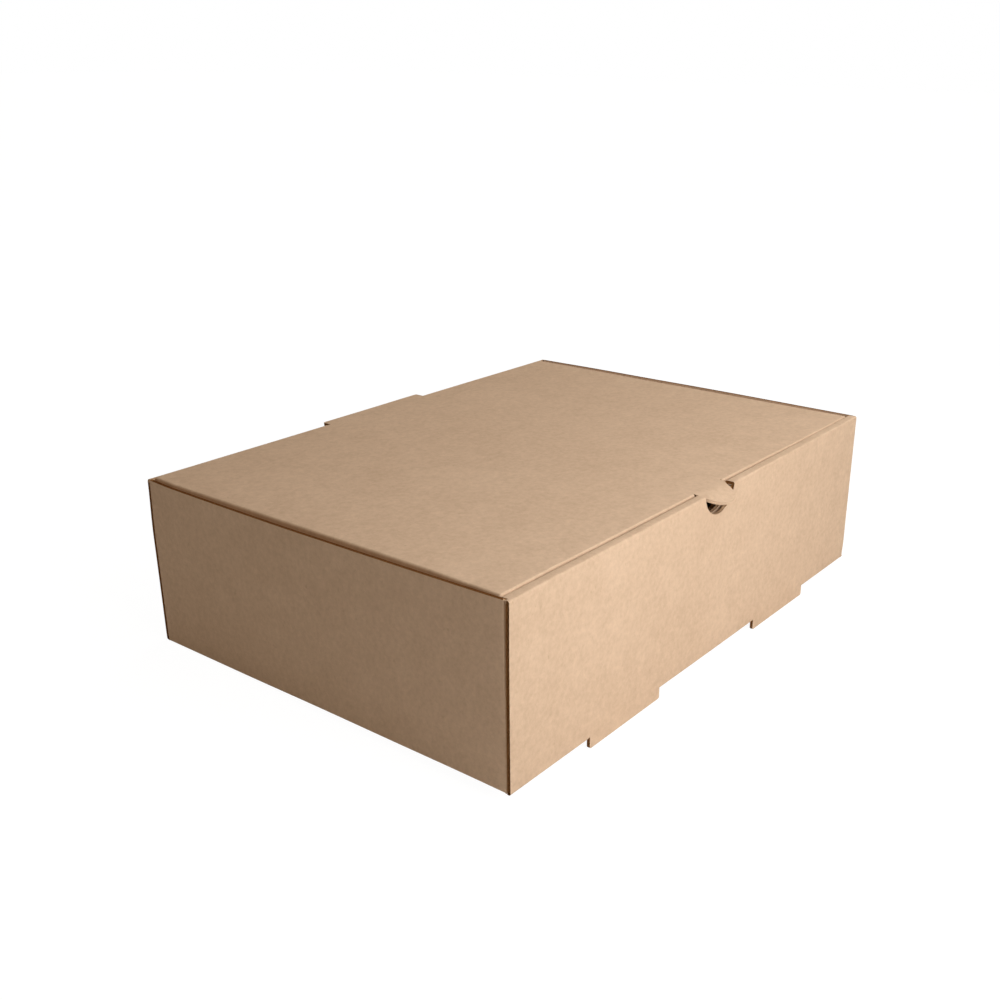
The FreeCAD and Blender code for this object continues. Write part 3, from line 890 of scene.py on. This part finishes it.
def make_lid_board():
    sheet = start_sheet("lid_board", LID_HALF, LID_FRONT, LID_SEAM, TOP)
    columns = (TUCK_HALF, TONGUE_RADIUS, TAB_HALF, VENT_HALF)
    cut_lines(0, [side * column for side in (-1, 1) for column in columns])
    cut_lines(0, [SLOT_LEFT, SLOT_RIGHT])
    cut_lines(1, [FOLD_BACK, SIDE_FLAP_FRONT, SIDE_FLAP_REAR])

    # The tuck flap leans in; its lower corners are well rounded.
    pull(lambda place: near(place.y, LID_FRONT), (0, 0, -LID_RIM))
    pull(lambda place: near(place.y, LID_FRONT) and near(place.z, TOP - LID_RIM)
         and abs(place.x) < TUCK_HALF + NEAR, (0, TUCK_SHIFT, LID_RIM - TUCK_DEPTH))
    round_corner(lambda place: near(abs(place.x), TUCK_HALF) and near(place.z, TOP - TUCK_DEPTH),
                 TUCK_CORNER, steps=10)

    # The side flaps hang inside the side walls, cut back and tapered at both ends.
    for side in (-1, 1):
        pull(lambda place: near(place.x, side * LID_HALF) and near(place.z, TOP),
             (0, 0, -LID_RIM))
        pull(lambda place: near(place.x, side * LID_HALF) and near(place.z, TOP - LID_RIM)
             and SIDE_FLAP_FRONT - NEAR < place.y < SIDE_FLAP_REAR + NEAR,
             (0, 0, LID_RIM - SIDE_FLAP))
    for end, taper in ((SIDE_FLAP_FRONT, SIDE_FLAP_TAPER), (SIDE_FLAP_REAR, -SIDE_FLAP_TAPER)):
        shift(lambda place: near(place.y, end) and near(place.z, TOP - SIDE_FLAP), (0, taper, 0))
        round_corner(lambda place: near(place.y, end + taper)
                     and near(place.z, TOP - SIDE_FLAP), SIDE_FLAP_CORNER)
    join_sheet()
    round_fold(lambda place: near(place.z, TOP) and near(abs(place.x), LID_HALF), LID_BEND)
    round_fold(lambda place: near(place.y, LID_FRONT) and (
        near(place.z, TOP) or near(abs(place.x), LID_HALF) or near(
            math.hypot(abs(place.x) - LID_HALF + LID_BEND, place.z - TOP + LID_BEND), LID_BEND)),
        LID_FRONT_BEND)

    # The tab behind the hinge, in the plane of the lid.
    pull(lambda place: near(place.y, LID_SEAM) and abs(place.x) < TAB_HALF + NEAR,
         (0, TAB_END - LID_SEAM, 0))
    round_corner(lambda place: near(place.y, TAB_END) and near(abs(place.x), TAB_HALF), TAB_CORNER)

    # The tongue stays in the plane of the lid where the tuck flap folds down.
    drop(lambda place: SLOT_LEFT < place.x < SLOT_RIGHT and place.y < FOLD_BACK
         and place.z > TOP - LID_RIM)
    cut_grid(PANEL_GRID)
    pull(lambda place: near(place.y, FOLD_BACK) and near(place.z, TOP)
         and abs(place.x) < TONGUE_RADIUS + NEAR, (0, TONGUE_FOLD - TONGUE_RADIUS - FOLD_BACK, 0))
    trim_tongue()
    tidy_sheet()
    thicken(sheet)
    bpy.ops.object.mode_set(mode="EDIT")
    for side in (-1, 1):
        crisp_inside((side * LID_HALF, LID_FRONT, 0), (-side, 1, 0), LID_FRONT_BEND,
                     lambda place: place.z < TOP - CORNER_CLEAR)
        crisp_inside((side * LID_HALF, 0, TOP), (-side, 0, -1), LID_BEND,
                     lambda place: place.y > LID_FRONT + CORNER_CLEAR)
    crisp_inside((0, LID_FRONT, TOP), (0, 1, -1), LID_FRONT_BEND,
                 lambda place: abs(place.x) < LID_HALF - CORNER_CLEAR)
    bpy.ops.object.mode_set(mode="OBJECT")
    punch(sheet, tongue_punch(), "EXACT")
    bpy.ops.object.mode_set(mode="EDIT")
    bpy.ops.mesh.select_all(action="SELECT")
    bpy.ops.mesh.delete_loose()
    bpy.ops.object.mode_set(mode="OBJECT")
    for face in sheet.data.polygons:
        if face.material_index == CLOSED_FACE and on_lip(face.center):
            face.material_index = LINER_FACE
    open_edges(sheet, lid_flutes_open,
               lambda place: near(place.y, LID_SEAM) and place.z > TOP - BOARD - NEAR)
    return sheet


def on_tongue(place):
    """The tongue while it is still flat."""
    return (place.y < LID_FRONT + BEND + NEAR and place.z > TOP - BEND
            and abs(place.x) < TONGUE_RADIUS + NEAR)


def on_lip(place):
    """The tongue's thin lip shows its liner, which is pressed over the cut."""
    reach = math.hypot(place.x, place.y - TONGUE_FOLD)
    return in_front_of_fold(place) and reach > TONGUE_RADIUS - LIP_DEPTH


def trim_tongue():
    """Cut the tongue to a half moon, then let it droop from the fold line forwards."""
    lines = [TONGUE_FIRST_ROW - TONGUE_ROW * i for i in range(TONGUE_ROWS)]
    for line in lines:
        pick("FACE", on_tongue)
        cut((0, line, TOP), (0, 1, 0))
    for i in range(-4, 5):
        pick("FACE", on_tongue)
        cut((TONGUE_COLUMN * i + TONGUE_COLUMN_SHIFT, 0, TOP), (1, 0, 0))
    for i in range(TONGUE_SIDES):
        angle = math.pi * (i + 0.5) / TONGUE_SIDES
        outward = Vector((math.cos(angle), -math.sin(angle), 0))
        pick("FACE", on_tongue)
        cut(Vector((0, TONGUE_FOLD, TOP)) + outward * TONGUE_RADIUS, outward, keep_all=False)
    bends = list(zip([TONGUE_FOLD + TONGUE_ROW] + lines, TONGUE_DROOP))
    for line, degrees in reversed(bends):
        pick("VERT", lambda place: place.y < line - NEAR and place.z > TOP - TONGUE_HANG
             and (place.y < LID_FRONT - NEAR or place.z > TOP - MM)
             and abs(place.x) < TONGUE_RADIUS + NEAR)
        bpy.ops.transform.rotate(value=-math.radians(degrees), orient_axis="X",
                                 center_override=(0, line, TOP))


def tongue_punch():
    """What the tongue leaves open in the tuck flap below it."""
    middle = LID_FRONT - PUNCH_LEAD + PUNCH_REACH / 2
    cutter = round_punch(TONGUE_RADIUS + SLIT, (0, middle, TOP - BOARD), PUNCH_REACH)
    bpy.ops.object.mode_set(mode="EDIT")
    bpy.ops.mesh.select_all(action="SELECT")
    bpy.ops.mesh.bisect(plane_co=(0, 0, PUNCH_ROOF), plane_no=(0, 0, 1), clear_outer=True,
                        use_fill=True)
    bpy.ops.object.mode_set(mode="OBJECT")
    return cutter


def lid_flutes_open(place, normal):
    """Flutes run along x, so down the side flaps."""
    if abs(place.x) > LID_HALF - BOARD and place.z < TOP - LID_RIM:
        return abs(normal.z) > FACING_UP
    return abs(normal.x) > FACING_SIDE


def make_lid_flutes():
    half_board = BOARD / 2
    cut_back = SIDE_FLAP_TAPER + SIDE_FLAP_CORNER
    runs = []
    for side in (-1, 1):
        flap = side * (LID_HALF - half_board)
        foot = TOP - SIDE_FLAP
        runs.append(flute_run(Vector((flap, SIDE_FLAP_FRONT + cut_back, foot)),
                              Vector((flap, SIDE_FLAP_REAR - cut_back, foot)),
                              Vector((1, 0, 0)), Vector((0, 0, 1))))
        runs.append(flute_run(Vector((side * TAB_HALF, REAR, TOP - half_board)),
                              Vector((side * TAB_HALF, TAB_END - TAB_CORNER,
                                      TOP - half_board)),
                              Vector((0, 0, 1)), Vector((-side, 0, 0))))
    return join_up(runs, "lid_flutes")


def make_hinge_fold(side):
    """The scored fold between the rear wall and the lid, on one side of the tab."""
    name = "hinge_fold_left" if side < 0 else "hinge_fold_right"
    sheet = start_sheet(name, HALF, LID_SEAM, REAR, TOP)
    pull(lambda place: near(place.y, REAR), (0, 0, WALL_SEAM - TOP))
    round_fold(lambda place: near(place.z, TOP) and near(place.y, REAR), HINGE_BEND)
    bpy.ops.mesh.select_all(action="SELECT")
    cut((side * VENT_HALF, 0, 0), (-side, 0, 0), keep_all=False)
    bpy.ops.mesh.select_all(action="SELECT")
    cut((side * (HALF - REAR_INSET), 0, 0), (side, 0, 0), keep_all=False)
    cut_grid(PANEL_GRID)
    tidy_sheet()
    thicken(sheet)
    open_edges(sheet, lambda place, normal: False,
               lambda place: near(place.y, LID_SEAM) or near(place.z, WALL_SEAM))
    return sheet


# ---------------------------------------------------------------- making the box

tray_board = make_tray_board()
tray_flutes = make_tray_flutes()
for piece in (tray_board, tray_flutes):
    push(piece, "front_bow", "Y", -FRONT_BOW, front_bow)
    push(piece, "front_flare", "Y", -FRONT_FLARE, front_flare)
    push(piece, "left_bow", "X", -SIDE_BOW, side_bow(-1))
    push(piece, "right_bow", "X", SIDE_BOW, side_bow(1))
    finish_board(piece)
    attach(piece, "tray_body")
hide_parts("tray")

lid_board = make_lid_board()
lid_flutes = make_lid_flutes()
for piece in (lid_board, lid_flutes):
    push(piece, "front_bow", "Y", -FRONT_BOW, front_bow)
    push(piece, "lid_corner", "Y", -LID_CORNER, lid_corner)
    push(piece, "lid_lift", "Z", LID_LIFT, lid_tip)
    push(piece, "lid_ear", "X", -LID_EAR, lid_ear)
    push(piece, "tongue_side", "X", -TONGUE_TWIST, tongue_side)
    push(piece, "tongue_lift", "Z", TONGUE_LIFT, tongue_side)
    push(piece, "lid_shoulder", "X", -LID_CORNER, lid_shoulder)
    finish_board(piece)
    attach(piece, "lid_body")
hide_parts("lid")

for side in (-1, 1):
    fold = make_hinge_fold(side)
    finish_board(fold)
    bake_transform(fold)


# ---------------------------------------------------------------- floor, light and camera


def make_floor():
    """A pale floor, which the feet and the rear edge of the base rest on."""
    finish = Finish(bpy.data.materials.new("pale_floor"))
    seen = finish.ray("Is Camera Ray")
    glossy = finish.ray("Is Glossy Ray")
    through = finish.ray("Is Transmission Ray")
    lit = finish.add("ShaderNodeBsdfDiffuse", {}, {"Color": FLOOR_LIT})
    faint = finish.add("ShaderNodeBsdfDiffuse", {}, {"Color": FLOOR_FAINT})
    distance = finish.add("ShaderNodeVectorMath", {"operation": "LENGTH"},
                          {0: finish.place()}, output="Value")
    glow = finish.mix(finish.spread(distance, *FLOOR_FADE), FLOOR_WHITE, WHITE)
    white = finish.add("ShaderNodeEmission", {}, {"Color": glow, "Strength": 1.0})
    shown = finish.add("ShaderNodeAddShader", {}, {0: faint, 1: white})
    surface = finish.add("ShaderNodeMixShader", {}, {"Fac": seen + glossy + through,
                                                     1: lit, 2: shown})
    bpy.ops.object.select_all(action="DESELECT")
    bpy.ops.mesh.primitive_plane_add(size=FLOOR_SIZE, location=(0, 0, 0))
    floor = bpy.context.active_object
    floor.name = "floor"
    tip = math.atan2(BASE, FLOOR_REST)
    floor.matrix_world = (Matrix.Translation((0, FRONT + BOARD / 2, -FLOOR_SINK))
                          @ Matrix.Rotation(tip, 4, "X"))
    bpy.ops.object.transform_apply(location=True, rotation=True, scale=True)
    floor.data.materials.append(finish.surface(surface))


def make_world():
    """White where the camera sees it, and a dim warm room for everything else."""
    world = bpy.data.worlds.new("studio")
    bpy.context.scene.world = world
    finish = Finish(world)
    room = finish.add("ShaderNodeBackground", {}, {"Color": shade(*ROOM_COLOUR),
                                                   "Strength": ROOM_STRENGTH})
    white = finish.add("ShaderNodeBackground", {}, {"Color": WHITE, "Strength": 1.0})
    seen = finish.ray("Is Camera Ray")
    finish.surface(finish.add("ShaderNodeMixShader", {}, {"Fac": seen, 1: room, 2: white}),
                   "ShaderNodeOutputWorld")


def soft_light(name, place, size, power):
    """A square lamp, aimed at the middle of the box."""
    lamp = bpy.data.lights.new(name, "AREA")
    lamp.shape = "SQUARE"
    lamp.size = size
    lamp.energy = power
    holder = bpy.data.objects.new(name, lamp)
    bpy.context.scene.collection.objects.link(holder)
    holder.location = place
    holder.rotation_euler = (Vector(LIGHT_AIM) - Vector(place)).to_track_quat("-Z", "Y").to_euler()


def make_camera():
    """Seen from the front left, a little above the lid."""
    lens = bpy.data.cameras.new("camera")
    lens.sensor_width = 36
    lens.lens = LENS
    lens.shift_x = SHIFT_X
    lens.shift_y = SHIFT_Y
    lens.clip_start = 0.01
    camera = bpy.data.objects.new("camera", lens)
    bpy.context.scene.collection.objects.link(camera)
    camera.location = Vector((-HALF, FRONT, BASE)) + Vector(CAMERA_PLACE) * HEIGHT
    camera.rotation_euler = (math.radians(90 - CAMERA_PITCH), math.radians(CAMERA_ROLL),
                             -math.radians(CAMERA_YAW))
    bpy.context.scene.camera = camera


make_floor()
make_world()
for light in LIGHTS:
    soft_light(*light)
make_camera()
bpy.context.scene.view_settings.view_transform = "Standard"
